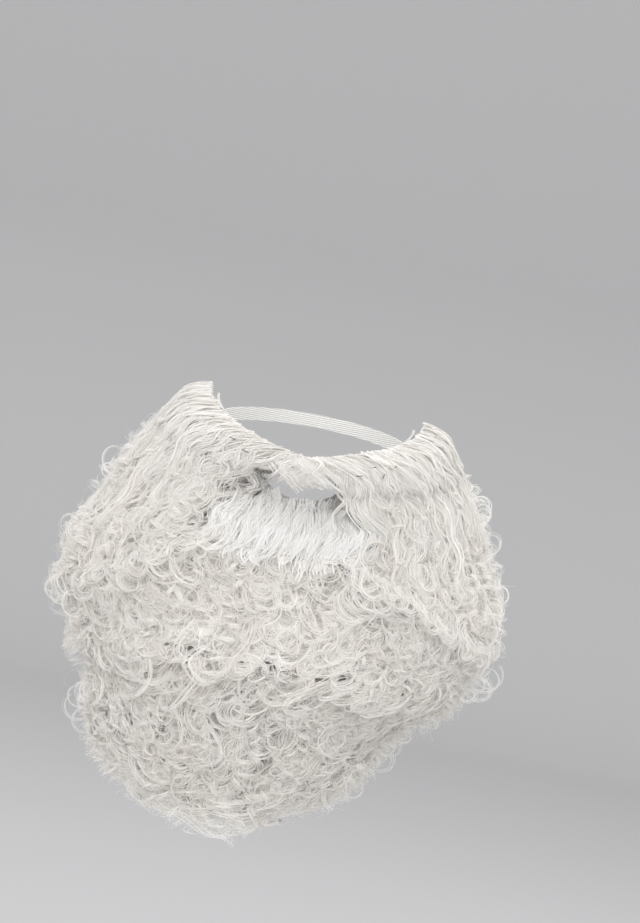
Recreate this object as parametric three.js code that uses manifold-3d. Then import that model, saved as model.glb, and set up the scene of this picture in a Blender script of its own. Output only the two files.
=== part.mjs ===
// Fake beard: a knitted face cloth with wefts of hair sewn to it, and an elastic strap.
// Millimetres, +Z up. The face looks along -Y, and +X is at the right seen from the front.
// The origin is on the inner face of the cloth, where it sits on the chin.
import * as THREE from 'three';
import { mergeVertices } from 'three/addons/utils/BufferGeometryUtils.js';
import Module from 'manifold-3d';

const wasm = await Module();
wasm.setup();

// Head and cloth
const headWidth = 144;       // between the cloth's ends, inside
const jawDepth = 104;        // from the chin back to the cloth's ends
const headLength = 190;      // from the chin back to the strap
const earHeight = 90;        // top of the cloth at its ends
const lipHeight = 52;        // top of the cloth under the nose
const chinDrop = 28;         // how far the cloth reaches under the chin
const endHeight = 45;        // bottom of the cloth at its ends
const clothWall = 2;
const topCurve = 1.15;       // 1 for a straight upper edge, more for one that sags to the lip
const jawCurve = 1.6;        // the same for the lower edge
const clearance = 0.5;       // between one piece and the next

// Mouth
const mouthWidth = 58;
const mouthHeight = 31;      // middle of the opening at the centre
const mouthSmile = 7.5;      // how much higher its corners are
const mouthSlit = 12;        // opening in the cloth
const mouthGap = 8;          // opening between moustache and bib
const mouthCorner = 7;       // width over which the hair closes beside the mouth
const lipSlope = 26;         // height over which the bib comes out to the front

// Strap
const strapWidth = 10;
const strapWall = 1.2;
const strapHeight = 70;      // where it leaves the cloth
const strapRise = 14;        // how much higher it passes behind the head
const strapLap = 12;         // degrees of the cloth's end that it lies against

// Hair
const beardWidth = 320;
const beardDrop = 212;       // from the chin to the lowest lock
const beardFront = 60;       // how far the hair stands out before the chin
const rollHeight = 23;       // rolled top band of the hair, seen from the front
const rollRise = 4;          // how far it stands above the cloth
const endRise = 4;           // how much more at the ears
const rollSeat = 14;         // height of cloth that it is sewn to
const rollShoulder = 12;     // height over which it rounds outward
const rollSweep = 13;        // degrees that its locks are combed sideways
const headerWall = 3;        // sewn band that the locks of a weft hang from
const headerTop = 0.45;      // its upper edge, as a share of the way down its layer's root
const headerBase = 0.88;     // its lower edge, the same
const lockSeat = 1.8;        // from the header's back to the locks
const layerGap = 5.6;        // in depth, between one layer of locks and the next
const layerSeam = 2;         // in height, between one layer of locks and the next
const waveAngle = 2.2;       // sideways wave of the locks, in degrees
const waveLength = 95;       // from one wave to the next
const curlLength = 31;       // from one curl to the next
const curlDepth = 0.16;      // how much a lock thickens at each curl, as a share
const tipRise = 38;          // how much higher the last locks end at the sides

// The cloth's inner face. Heights are shares of earHeight above the chin and of chinDrop below it,
// width of half of headWidth, front and back of jawDepth.
const clothSections = [
  { height: 1.25, width: 1.00, front: 0.00, back: 1.00 },
  { height: 1.00, width: 1.00, front: 0.00, back: 1.00 },
  { height: 0.61, width: 0.97, front: 0.00, back: 0.99 },
  { height: 0.37, width: 0.92, front: -0.02, back: 0.95 },
  { height: 0.00, width: 0.86, front: 0.00, back: 0.885 },
  { height: -0.50, width: 0.85, front: 0.045, back: 0.83 },
  { height: -1.00, width: 0.84, front: 0.10, back: 0.77 },
];

// The back of the hair under the cloth. Heights are shares of the way down from the cloth to the tip.
const backSections = [
  { height: 0.20, width: 0.86, front: 0.14, back: 0.58 },
  { height: 0.42, width: 0.74, front: 0.03, back: 0.30 },
  { height: 0.68, width: 0.45, front: -0.06, back: 0.08 },
  { height: 1.00, width: 0.10, front: -0.20, back: -0.12 },
];

// The outside of the hair. Heights are shares of earHeight above the chin and of beardDrop below it,
// width and lean (to the right) of half of beardWidth, front of beardFront and side of jawDepth.
const hairSections = [
  { height: 1.12, width: 0.57, lean: 0.00, front: 0.10, side: 0.97 },
  { height: 0.83, width: 0.66, lean: 0.00, front: 0.22, side: 0.96 },
  { height: 0.61, width: 0.75, lean: 0.00, front: 0.33, side: 0.94 },
  { height: 0.39, width: 0.82, lean: 0.00, front: 0.40, side: 0.88 },
  { height: 0.11, width: 0.89, lean: 0.00, front: 0.52, side: 0.80 },
  { height: -0.05, width: 0.95, lean: 0.00, front: 0.68, side: 0.70 },
  { height: -0.14, width: 0.99, lean: 0.00, front: 0.80, side: 0.60 },
  { height: -0.27, width: 0.99, lean: -0.005, front: 0.90, side: 0.50 },
  { height: -0.35, width: 0.93, lean: -0.01, front: 0.96, side: 0.42 },
  { height: -0.42, width: 0.88, lean: -0.01, front: 1.00, side: 0.36 },
  { height: -0.52, width: 0.76, lean: -0.04, front: 1.00, side: 0.28 },
  { height: -0.61, width: 0.69, lean: -0.085, front: 0.97, side: 0.20 },
  { height: -0.71, width: 0.63, lean: -0.115, front: 0.92, side: 0.12 },
  { height: -0.80, width: 0.55, lean: -0.125, front: 0.85, side: 0.05 },
  { height: -0.90, width: 0.43, lean: -0.135, front: 0.77, side: 0.00 },
  { height: -1.00, width: 0.25, lean: -0.125, front: 0.68, side: -0.05 },
];

// Where one layer of hair ends and the next begins: root on the cloth, as a share of the cloth's height,
// and tip on the outside, as a share of beardDrop, both at the centre and at the ears.
const chinPart = 0.2;        // up to this share of the way to the ear the centre's values hold
const cheekPart = 0.7;       // and from this share on the ear's
const layerEdges = {
  upper: { rootCentre: 0.45, rootEar: 0.46, tipCentre: -0.09, tipEar: -0.29 },
  middle: { rootCentre: 0.25, rootEar: 0.23, tipCentre: -0.46, tipEar: -0.49 },
};

// The wefts: layer from the roll inward, their first and last angle, and the locks and their rings
const wefts = [
  { name: 'moustache', layer: 0, from: -32, to: 32, locks: 8, rings: 5 },
  { name: 'cheek_roll', layer: 0, from: 34, to: 89, locks: 5, rings: 5, paired: true },
  { name: 'chin_bib', layer: 1, from: -27, to: 27, locks: 5, rings: 6 },
  { name: 'side_weft', layer: 1, from: 28.5, to: 89, locks: 5, rings: 7, paired: true },
  { name: 'chin_weft', layer: 2, from: -37, to: 37, locks: 6, rings: 7 },
  { name: 'jaw_weft', layer: 2, from: 38.5, to: 89, locks: 4, rings: 7, paired: true },
  { name: 'throat_weft_centre', layer: 3, from: -35, to: 35, locks: 5, rings: 8 },
  { name: 'throat_weft', layer: 3, from: 36.5, to: 89, locks: 4, rings: 8, paired: true },
];

// How wide and thick a lock is along its length
const lockProfile = [
  { along: 0.00, width: 0.00, thick: 0.00 },
  { along: 0.07, width: 0.80, thick: 0.90 },
  { along: 0.25, width: 1.00, thick: 1.00 },
  { along: 0.75, width: 1.00, thick: 1.00 },
  { along: 0.90, width: 0.85, thick: 0.90 },
  { along: 1.00, width: 0.00, thick: 0.00 },
];

const clothColumns = 24;
const clothRows = 6;
const headerRows = 2;
const mouthSteps = 8;
const strapSteps = 26;
const lockSides = 6;
const lockOverlap = 0.62;    // half width of a lock, as a share of its spacing
const ringEase = 1.3;        // above 1 the rings lie closer at both ends of a lock
const faceRound = 0.35;      // 0 for flat faces between the layers, 1 for full round ones
const leastColumn = 1;       // narrowest column of a header, in degrees
const weldDistance = 1e-4;
const earAngle = 90;         // from the chin to the cloth's ends, seen from above

const colours = {
  hair: new THREE.MeshStandardMaterial({ color: 0xecebe8, roughness: 0.5, metalness: 0 }),
  cloth: new THREE.MeshStandardMaterial({ color: 0xe6e4de, roughness: 0.95, metalness: 0 }),
  elastic: new THREE.MeshStandardMaterial({ color: 0xf2f1ee, roughness: 0.8, metalness: 0 }),
};

const { clamp, degToRad, lerp, smoothstep } = THREE.MathUtils;
const mix = (from, to, share) => lerp(from, to, clamp(share, 0, 1));

// Tables are read by height in millimetres, from the top down, with a smooth curve through their rows.
const aboveOrBelow = (share, above, below) => share * (share > 0 ? above : below);
const backLength = beardDrop - chinDrop;
const insideRows = [
  ...clothSections.map((row) => ({ ...row, height: aboveOrBelow(row.height, earHeight, chinDrop) })),
  ...backSections.map((row) => ({ ...row, height: -chinDrop - row.height * backLength })),
];
const outsideRows = hairSections.map((row) => ({
  ...row,
  height: aboveOrBelow(row.height, earHeight, beardDrop),
}));

function read(rows, place, column, key = 'height') {
  const rising = rows[1][key] > rows[0][key];
  const before = (row) => (rising ? row[key] <= place : row[key] >= place);
  const last = rows.length - 2;
  let index = 0;
  while (index < last && before(rows[index + 1])) {
    index += 1;
  }
  const slope = (i) => {
    const low = rows[Math.max(i - 1, 0)];
    const high = rows[Math.min(i + 1, rows.length - 1)];
    return (high[column] - low[column]) / (high[key] - low[key]);
  };
  const start = rows[index];
  const end = rows[index + 1];
  const span = end[key] - start[key];
  const t = clamp((place - start[key]) / span, 0, 1);
  const rest = 1 - t;
  return start[column] * rest * rest * (1 + 2 * t)
    + end[column] * t * t * (3 - 2 * t)
    + slope(index) * span * t * rest * rest
    - slope(index + 1) * span * t * t * rest;
}

// Edges of the cloth, by the angle from the chin to the ear
const earShare = (angle) => clamp(Math.abs(angle) / earAngle, 0, 1);
const clothTop = (angle) => lipHeight + (earHeight - lipHeight) * earShare(angle) ** topCurve;
const clothBottom = (angle) => -chinDrop + (chinDrop + endHeight) * earShare(angle) ** jawCurve;

// A point on the head, or on the back of the hair under it, moved outward by a distance
function headPoint(angle, height, out) {
  const turn = degToRad(angle);
  const width = read(insideRows, height, 'width') * headWidth / 2;
  const front = read(insideRows, height, 'front') * jawDepth;
  const depth = read(insideRows, height, 'back') * jawDepth - front;
  const across = depth * Math.sin(turn);
  const forward = width * Math.cos(turn);
  const length = Math.hypot(across, forward);
  const x = width * Math.sin(turn) + out * across / length;
  const y = front + depth * (1 - Math.cos(turn)) - out * forward / length;
  return new THREE.Vector3(x, y, height);
}

const lean = (height) => (height < 0 ? read(outsideRows, height, 'lean') * beardWidth / 2 : 0);

function outsidePoint(angle, height) {
  const turn = degToRad(angle);
  const width = read(outsideRows, height, 'width') * beardWidth / 2;
  const front = -read(outsideRows, height, 'front') * beardFront;
  const side = read(outsideRows, height, 'side') * jawDepth;
  const x = width * Math.sin(turn);
  return new THREE.Vector3(x, front + (side - front) * (1 - Math.cos(turn)), height);
}

// A point in the hair: depth is 0 on the cloth or the back of the hair and 1 on the outside
function hairPoint(angle, height, depth) {
  const wave = waveAngle * Math.cos(degToRad(angle));
  const waved = angle + wave * Math.sin(2 * Math.PI * height / waveLength);
  const inner = headPoint(waved, height, clothWall + clearance);
  const point = inner.lerp(outsidePoint(waved, height), depth);
  point.x += lean(height);
  return point;
}

const hairThickness = (angle, height) =>
  headPoint(angle, height, clothWall + clearance).distanceTo(outsidePoint(angle, height));

// Mouth opening, by the distance from the centre line
function mouthMiddle(x) {
  const share = clamp(Math.abs(x) / (mouthWidth / 2), 0, 1);
  return mouthHeight + mouthSmile * share * share;
}
const mouthAt = (angle) => mouthMiddle(Math.sin(degToRad(angle)) * headWidth / 2);
const besideMouth = (angle) => {
  const x = Math.abs(Math.sin(degToRad(angle))) * headWidth / 2;
  return smoothstep(x, mouthWidth / 2, mouthWidth / 2 + mouthCorner);
};

// The faces between the layers: root is their height on the cloth, tip their height on the outside
function layerFace(edge, angle) {
  const ear = smoothstep(earShare(angle), chinPart, cheekPart);
  const root = mix(edge.rootCentre, edge.rootEar, ear);
  return {
    root: mix(clothBottom(angle), clothTop(angle), root),
    tip: mix(edge.tipCentre, edge.tipEar, ear) * beardDrop,
  };
}

function underRoll(angle) {
  const overMouth = mouthAt(angle) + mouthGap / 2;
  const top = clothTop(angle);
  return {
    root: mix(overMouth, top - rollSeat, besideMouth(angle)),
    tip: Math.max(overMouth, top + rollRise - rollHeight),
  };
}

function overCheek(angle) {
  const roll = underRoll(angle);
  const underMouth = mouthAt(angle) - mouthGap / 2;
  return {
    root: mix(underMouth, roll.root - layerSeam, besideMouth(angle)),
    tip: mix(underMouth - lipSlope, roll.tip - layerSeam, besideMouth(angle)),
  };
}

const rollTop = (angle) => clothTop(angle) + rollRise + endRise * earShare(angle) ** 2;
const lowestTip = (angle) => -beardDrop + tipRise * earShare(angle) ** 2;

const upperFace = (angle) => layerFace(layerEdges.upper, angle);
const middleFace = (angle) => layerFace(layerEdges.middle, angle);

// Each layer's face outward (top) and inward (base)
const layers = [
  { top: null, base: underRoll },
  { top: overCheek, base: upperFace },
  { top: upperFace, base: middleFace },
  { top: middleFace, base: null },
];

// Share of the hair's depth that lies inside a face, at a height
function faceDepth(face, height) {
  const way = clamp((face.root - height) / (face.root - face.tip), 0, 1);
  return mix(way, Math.sin(way * Math.PI / 2), faceRound);
}

// Depths between which a layer lies, at an angle and a height
function layerDepths(layer, angle, height) {
  const { top, base } = layers[layer];
  const thickness = hairThickness(angle, height);
  const gap = layerGap / 2 / thickness;
  const seat = lockSeat / thickness;
  const round = clamp((rollTop(angle) - height) / rollShoulder, 0, 1);
  const outer = top ? faceDepth(top(angle), height) - gap : Math.sqrt(round * (2 - round));
  const inner = base ? faceDepth(base(angle), height) + gap : 0;
  const lowest = Math.max(inner, seat);
  return { inner: lowest, outer: Math.max(outer, lowest + seat) };
}

// Turns a geometry whose points are placed by a function into a solid
function toSolid(geometry, place) {
  const points = geometry.attributes.position;
  const point = new THREE.Vector3();
  for (let i = 0; i < points.count; i += 1) {
    point.fromBufferAttribute(points, i);
    const moved = place(point);
    points.setXYZ(i, moved.x, moved.y, moved.z);
  }
  geometry.deleteAttribute('normal');
  geometry.deleteAttribute('uv');
  const closed = mergeVertices(geometry, weldDistance);
  const vertProperties = new Float32Array(closed.attributes.position.array);
  const triVerts = new Uint32Array(closed.index.array);
  return new wasm.Manifold(new wasm.Mesh({ numProp: 3, vertProperties, triVerts }));
}

// A block bent to a surface: place gets shares along, inward and up
const bentBlock = (columns, rows, place) =>
  toSolid(new THREE.BoxGeometry(1, 1, 1, columns, 1, rows), (p) => place(p.x + 0.5, p.y + 0.5, p.z + 0.5));

const tidy = (value) => Math.round(value * 1e6) / 1e6;

const closerAtEnds = (along) =>
  (along < 0.5 ? (2 * along) ** ringEase / 2 : 1 - (2 - 2 * along) ** ringEase / 2);

function makeLock(weft, angle, spacing, side) {
  const { top, base } = layers[weft.layer];
  const sweep = weft.layer === 0 ? rollSweep * side * (1 - earShare(angle)) : 0;
  const highest = (turn) => (top ? top(turn).root - layerSeam : rollTop(turn));
  const rootEnd = (turn) => (base ? base(turn).root + layerSeam : clothBottom(turn));
  const lowest = (turn) => (base ? base(turn).tip + layerSeam : lowestTip(turn));
  const bend = weft.layer > 0 ? rootEnd : highest;
  const rootShare = weft.layer > 0 ? 1 / weft.rings : 0;
  const curls = 2 * Math.PI * (highest(angle) - lowest(angle)) / curlLength;
  const geometry = new THREE.SphereGeometry(1, lockSides, weft.rings);
  const facet = Math.sin(2 * Math.PI / lockSides);
  return toSolid(geometry, (point) => {
    const ring = Math.hypot(point.x, point.z);
    const along = tidy(Math.acos(clamp(point.y, -1, 1)) / Math.PI);
    const atEnd = ring < weldDistance;
    const across = atEnd ? 0 : tidy(point.x / ring);
    const outward = atEnd ? 0 : tidy(point.z / ring / facet);
    const curl = 1 - curlDepth / 2 * (1 + Math.sin(curls * along + angle));
    const width = spacing * lockOverlap * read(lockProfile, along, 'width', 'along');
    const turn = angle + sweep * along + width * across * curl;
    const height = along < rootShare
      ? lerp(highest(turn), bend(turn), along / rootShare)
      : lerp(bend(turn), lowest(turn), closerAtEnds((along - rootShare) / (1 - rootShare)));
    const depths = layerDepths(weft.layer, turn, height);
    const full = (depths.outer - depths.inner) / 2;
    const thick = full * read(lockProfile, along, 'thick', 'along');
    const middle = along > 0.5 ? depths.outer - thick : depths.inner + full;
    return hairPoint(turn, height, middle + thick * outward);
  });
}

// A header's columns lie over the cloth's, so that the two stay parallel
function makeHeader(layer, from, to) {
  const angles = [from];
  for (let i = 0; i <= clothColumns; i += 1) {
    const angle = lerp(-earAngle, earAngle, i / clothColumns);
    if (angle > from + leastColumn && angle < to - leastColumn) {
      angles.push(angle);
    }
  }
  angles.push(to);
  const columns = angles.length - 1;
  const { top, base } = layers[layer];
  return bentBlock(columns, headerRows, (along, inward, up) => {
    const angle = angles[Math.round(along * columns)];
    const edge = top ? top(angle).root : clothTop(angle);
    const end = base ? base(angle).root : clothBottom(angle);
    const highest = lerp(edge, end, headerTop);
    const lowest = lerp(edge, end, headerBase);
    const out = clothWall + clearance + headerWall * (1 - inward);
    return headPoint(angle, lerp(lowest, highest, up), out);
  });
}

function makeWeft(weft, side) {
  const spacing = (weft.to - weft.from) / (weft.locks - 1 + 2 * lockOverlap);
  const start = weft.from + (weft.layer === 0 && weft.paired ? rollSweep * lockOverlap : 0);
  const ends = [start * side, weft.to * side].sort((a, b) => a - b);
  let solid = makeHeader(weft.layer, ...ends);
  for (let i = 0; i < weft.locks; i += 1) {
    const angle = weft.from + spacing * (i + lockOverlap);
    const outward = weft.paired ? side : Math.sign(angle);
    solid = solid.add(makeLock(weft, angle * side, spacing, outward));
  }
  const bodies = solid.decompose().sort((a, b) => b.volume() - a.volume());
  return bodies[0];
}

function makeBacking() {
  const cloth = bentBlock(clothColumns, clothRows, (along, inward, up) => {
    const angle = lerp(-earAngle, earAngle, along);
    const height = lerp(clothBottom(angle), clothTop(angle), up);
    return headPoint(angle, height, clothWall * (1 - inward));
  });
  const mouth = new THREE.Shape();
  const edge = (share, side) => {
    const x = (share - 0.5) * mouthWidth;
    const open = mouthSlit / 2 * Math.sqrt(1 - (2 * share - 1) ** 2);
    return [x, mouthMiddle(x) + side * open];
  };
  mouth.moveTo(...edge(0, 1));
  for (let i = 1; i <= mouthSteps; i += 1) {
    mouth.lineTo(...edge(i / mouthSteps, 1));
  }
  for (let i = mouthSteps - 1; i > 0; i -= 1) {
    mouth.lineTo(...edge(i / mouthSteps, -1));
  }
  const through = new THREE.ExtrudeGeometry(mouth, { depth: jawDepth, bevelEnabled: false });
  through.rotateX(Math.PI / 2);
  return cloth.subtract(toSolid(through, (p) => p.setY(p.y + jawDepth / 2)));
}

function makeStrap() {
  const lap = strapLap / earAngle;
  const inset = clearance + strapWall;
  return bentBlock(strapSteps, 1, (along, inward, up) => {
    const out = -clearance - strapWall * inward;
    const way = lerp(-lap, 2 + lap, along);
    const rise = strapHeight + strapRise * Math.sin(clamp(way, 0, 2) * Math.PI / 2);
    const height = rise + strapWidth * (up - 0.5);
    if (way <= 0 || way >= 2) {
      const angle = way <= 0 ? earAngle * (1 + way) : -earAngle * (3 - way);
      return headPoint(angle, height, out);
    }
    const turn = way * Math.PI / 2;
    const end = headPoint(earAngle, height, out);
    const length = headLength - end.y + out + inset;
    return new THREE.Vector3(end.x * Math.cos(turn), end.y + length * Math.sin(turn), height);
  });
}

const beard = new THREE.Group();

function addPiece(name, solid, material) {
  const { vertProperties, triVerts } = solid.getMesh();
  const geometry = new THREE.BufferGeometry();
  geometry.setAttribute('position', new THREE.BufferAttribute(new Float32Array(vertProperties), 3));
  geometry.setIndex(new THREE.BufferAttribute(new Uint32Array(triVerts), 1));
  geometry.computeVertexNormals();
  const mesh = new THREE.Mesh(geometry, material);
  mesh.name = name;
  beard.add(mesh);
}

addPiece('backing', makeBacking(), colours.cloth);
addPiece('elastic_strap', makeStrap(), colours.elastic);
for (const weft of wefts) {
  if (weft.paired) {
    addPiece(`${weft.name}_left`, makeWeft(weft, -1), colours.hair);
    addPiece(`${weft.name}_right`, makeWeft(weft, 1), colours.hair);
  } else {
    addPiece(weft.name, makeWeft(weft, 1), colours.hair);
  }
}

export default beard;
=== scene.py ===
# Fake beard: its hair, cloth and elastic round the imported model. Metres, +Z up, the beard faces -Y.
import math
from functools import partial
import bmesh
import bpy
import numpy as np
from mathutils import Matrix, Vector, noise


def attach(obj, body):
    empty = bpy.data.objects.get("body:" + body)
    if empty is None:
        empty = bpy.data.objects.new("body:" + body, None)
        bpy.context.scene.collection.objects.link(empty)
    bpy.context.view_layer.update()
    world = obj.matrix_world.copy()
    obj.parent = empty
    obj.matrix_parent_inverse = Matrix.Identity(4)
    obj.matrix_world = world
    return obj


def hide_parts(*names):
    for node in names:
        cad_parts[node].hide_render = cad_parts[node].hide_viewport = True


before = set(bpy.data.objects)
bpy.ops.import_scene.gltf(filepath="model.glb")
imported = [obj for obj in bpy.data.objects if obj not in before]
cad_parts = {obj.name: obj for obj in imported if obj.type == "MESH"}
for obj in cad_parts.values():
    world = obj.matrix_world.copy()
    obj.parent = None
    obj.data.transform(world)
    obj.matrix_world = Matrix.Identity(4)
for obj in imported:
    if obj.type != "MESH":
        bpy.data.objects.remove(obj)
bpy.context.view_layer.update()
mm = 0.001
draw = np.random.default_rng(2412)
triangles = {}


def addObject(name, data):
    thing = bpy.data.objects.new(name, data)
    bpy.context.collection.objects.link(thing)
    return thing


def smoothMesh(name, bm):
    for face in bm.faces:
        face.smooth = True
    mesh = bpy.data.meshes.new(name)
    bm.to_mesh(mesh)
    bm.free()
    return mesh


# The form of the hair: the sections that the model is made from, read the same way
form = {
    "headWidth": 144 * mm, "jawDepth": 104 * mm, "earHeight": 90 * mm, "lipHeight": 52 * mm,
    "chinDrop": 28 * mm, "endHeight": 45 * mm, "clothWall": 2 * mm, "clearance": 0.5 * mm,
    "mouthWidth": 58 * mm, "mouthHeight": 31 * mm, "mouthSmile": 7.5 * mm, "mouthGap": 8 * mm,
    "mouthCorner": 7 * mm, "lipSlope": 26 * mm, "topCurve": 1.15, "jawCurve": 1.6,
    "beardWidth": 320 * mm, "beardDrop": 212 * mm, "beardFront": 60 * mm,
    "rollHeight": 23 * mm, "rollRise": 4 * mm, "endRise": 4 * mm, "rollSeat": 14 * mm,
    "rollShoulder": 12 * mm, "layerGap": 5.6 * mm, "layerSeam": 2 * mm, "lockSeat": 1.8 * mm,
    "waveAngle": 2.2, "waveLength": 95 * mm, "tipRise": 38 * mm, "faceRound": 0.35,
    "chinPart": 0.2, "cheekPart": 0.7, "earEnd": 91,
}

# height, width, front, back: first the cloth's inner face, then the back of the hair under it
clothSections = [
    (1.25, 1.00, 0.00, 1.00), (1.00, 1.00, 0.00, 1.00), (0.61, 0.97, 0.00, 0.99),
    (0.37, 0.92, -0.02, 0.95), (0.00, 0.86, 0.00, 0.885), (-0.50, 0.85, 0.045, 0.83),
    (-1.00, 0.84, 0.10, 0.77),
]
backSections = [
    (0.20, 0.86, 0.14, 0.58), (0.42, 0.74, 0.03, 0.30), (0.68, 0.45, -0.06, 0.08),
    (1.00, 0.10, -0.20, -0.12),
]

# height, width, lean, front, side of the outside of the hair
hairSections = [
    (1.12, 0.57, 0, 0.10, 0.97), (0.83, 0.66, 0, 0.22, 0.96), (0.61, 0.75, 0, 0.33, 0.94),
    (0.39, 0.82, 0, 0.40, 0.88), (0.11, 0.89, 0, 0.52, 0.80), (-0.05, 0.95, 0, 0.68, 0.70),
    (-0.14, 0.99, 0, 0.80, 0.60), (-0.27, 0.99, -0.005, 0.90, 0.50),
    (-0.35, 0.93, -0.01, 0.96, 0.42), (-0.42, 0.88, -0.01, 1.00, 0.36),
    (-0.52, 0.76, -0.04, 1.00, 0.28), (-0.61, 0.69, -0.085, 0.97, 0.20),
    (-0.71, 0.63, -0.115, 0.92, 0.12), (-0.80, 0.55, -0.125, 0.85, 0.05),
    (-0.90, 0.43, -0.135, 0.77, 0.00), (-1.00, 0.25, -0.125, 0.68, -0.05),
]

# root at the centre and at the ears, tip at the centre and at the ears, of the faces between the layers
layerEdges = {"upper": (0.45, 0.46, -0.09, -0.29), "middle": (0.25, 0.23, -0.46, -0.49)}


def aboveOrBelow(share, above, below):
    return share * (above if share > 0 else below)


backLength = form["beardDrop"] - form["chinDrop"]
insideRows = [(aboveOrBelow(r[0], form["earHeight"], form["chinDrop"]), *r[1:]) for r in clothSections]
insideRows += [(-form["chinDrop"] - r[0] * backLength, *r[1:]) for r in backSections]
outsideRows = [(aboveOrBelow(r[0], form["earHeight"], form["beardDrop"]), *r[1:]) for r in hairSections]


def smoothColumn(rows, index):
    places = np.array([row[0] for row in rows])[::-1]
    values = np.array([row[index] for row in rows], dtype=float)[::-1]
    order = np.arange(len(rows))
    low, high = np.maximum(order - 1, 0), np.minimum(order + 1, len(rows) - 1)
    slopes = (values[high] - values[low]) / (places[high] - places[low])

    def read(place):
        place = np.clip(place, places[0], places[-1])
        i = np.clip(np.searchsorted(places, place, side="right") - 1, 0, len(rows) - 2)
        span = places[i + 1] - places[i]
        t = (place - places[i]) / span
        rest = 1 - t
        return (values[i] * rest * rest * (1 + 2 * t) + values[i + 1] * t * t * (3 - 2 * t)
                + slopes[i] * span * t * rest * rest - slopes[i + 1] * span * t * t * rest)

    return read


headSize = [smoothColumn(insideRows, i) for i in (1, 2, 3)]
hairSize = [smoothColumn(outsideRows, i) for i in (1, 2, 3, 4)]


def mix(a, b, share):
    return a + (b - a) * np.clip(share, 0, 1)


def smoothStep(x, low, high):
    t = np.clip((x - low) / (high - low), 0, 1)
    return t * t * (3 - 2 * t)


def earShare(angle):
    return np.clip(np.abs(angle) / 90, 0, 1)


def clothTop(angle):
    return mix(form["lipHeight"], form["earHeight"], earShare(angle) ** form["topCurve"])


def clothBottom(angle):
    return mix(-form["chinDrop"], form["endHeight"], earShare(angle) ** form["jawCurve"])


def headPoint(angle, height, out):
    turn = np.radians(angle)
    width = headSize[0](height) * form["headWidth"] / 2
    front = headSize[1](height) * form["jawDepth"]
    depth = headSize[2](height) * form["jawDepth"] - front
    across, forward = depth * np.sin(turn), width * np.cos(turn)
    length = np.hypot(across, forward)
    x = width * np.sin(turn) + out * across / length
    y = front + depth * (1 - np.cos(turn)) - out * forward / length
    return np.stack([x, y, height + 0 * x], -1)


def outsidePoint(angle, height):
    turn = np.radians(angle)
    width = hairSize[0](height) * form["beardWidth"] / 2
    front = -hairSize[2](height) * form["beardFront"]
    side = hairSize[3](height) * form["jawDepth"]
    x = width * np.sin(turn)
    return np.stack([x, front + (side - front) * (1 - np.cos(turn)), height + 0 * x], -1)


def hairPoint(angle, height, depth):
    wave = form["waveAngle"] * np.cos(np.radians(angle))
    waved = angle + wave * np.sin(2 * np.pi * height / form["waveLength"])
    inner = headPoint(waved, height, form["clothWall"] + form["clearance"])
    point = inner + (outsidePoint(waved, height) - inner) * np.asarray(depth)[..., None]
    point[..., 0] += np.where(height < 0, hairSize[1](height), 0) * form["beardWidth"] / 2
    return point


def hairWays(angle, height, depth):
    # the way round the head, for one degree, and the way down, for one metre
    right = (hairPoint(angle + 1, height, depth) - hairPoint(angle - 1, height, depth)) / 2
    return right, (hairPoint(angle, height - mm, depth) - hairPoint(angle, height + mm, depth)) / (2 * mm)


def thickness(angle, height):
    inner = headPoint(angle, height, form["clothWall"] + form["clearance"])
    return np.linalg.norm(inner - outsidePoint(angle, height), axis=-1)


def mouthMiddle(x):
    share = np.clip(np.abs(x) / (form["mouthWidth"] / 2), 0, 1)
    return form["mouthHeight"] + form["mouthSmile"] * share * share


def mouthAt(angle):
    return mouthMiddle(np.sin(np.radians(angle)) * form["headWidth"] / 2)


def besideMouth(angle):
    x = np.abs(np.sin(np.radians(angle))) * form["headWidth"] / 2
    return smoothStep(x, form["mouthWidth"] / 2, form["mouthWidth"] / 2 + form["mouthCorner"])


def layerFace(name, angle):
    rootCentre, rootEar, tipCentre, tipEar = layerEdges[name]
    ear = smoothStep(earShare(angle), form["chinPart"], form["cheekPart"])
    root = mix(clothBottom(angle), clothTop(angle), mix(rootCentre, rootEar, ear))
    return root, mix(tipCentre, tipEar, ear) * form["beardDrop"]


def underRoll(angle):
    overMouth = mouthAt(angle) + form["mouthGap"] / 2
    top = clothTop(angle)
    root = mix(overMouth, top - form["rollSeat"], besideMouth(angle))
    return root, np.maximum(overMouth, top + form["rollRise"] - form["rollHeight"])


def overCheek(angle):
    rollRoot, rollTip = underRoll(angle)
    underMouth = mouthAt(angle) - form["mouthGap"] / 2
    beside = besideMouth(angle)
    root = mix(underMouth, rollRoot - form["layerSeam"], beside)
    return root, mix(underMouth - form["lipSlope"], rollTip - form["layerSeam"], beside)


def rollTop(angle):
    return clothTop(angle) + form["rollRise"] + form["endRise"] * earShare(angle) ** 2


def lowestTip(angle):
    return -form["beardDrop"] + form["tipRise"] * earShare(angle) ** 2


upperFace, middleFace = partial(layerFace, "upper"), partial(layerFace, "middle")
layers = [(None, underRoll), (overCheek, upperFace), (upperFace, middleFace), (middleFace, None)]


def faceDepth(face, height):
    root, tip = face
    way = np.clip((root - height) / (root - tip), 0, 1)
    return mix(way, np.sin(way * np.pi / 2), form["faceRound"])


def layerDepths(layer, angle, height):
    top, base = layers[layer]
    thick = thickness(angle, height)
    gap, seat = form["layerGap"] / 2 / thick, form["lockSeat"] / thick
    shoulder = np.clip((rollTop(angle) - height) / form["rollShoulder"], 0, 1)
    outer = faceDepth(top(angle), height) - gap if top else np.sqrt(shoulder * (2 - shoulder))
    inner = faceDepth(base(angle), height) + gap if base else 0 * thick
    lowest = np.maximum(inner, seat)
    return lowest, np.maximum(outer, lowest + seat)


def layerTop(layer, angle):
    top = layers[layer][0]
    return top(angle)[1] if top else rollTop(angle)


def layerTip(layer, angle):
    base = layers[layer][1]
    return base(angle)[1] if base else lowestTip(angle)


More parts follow.
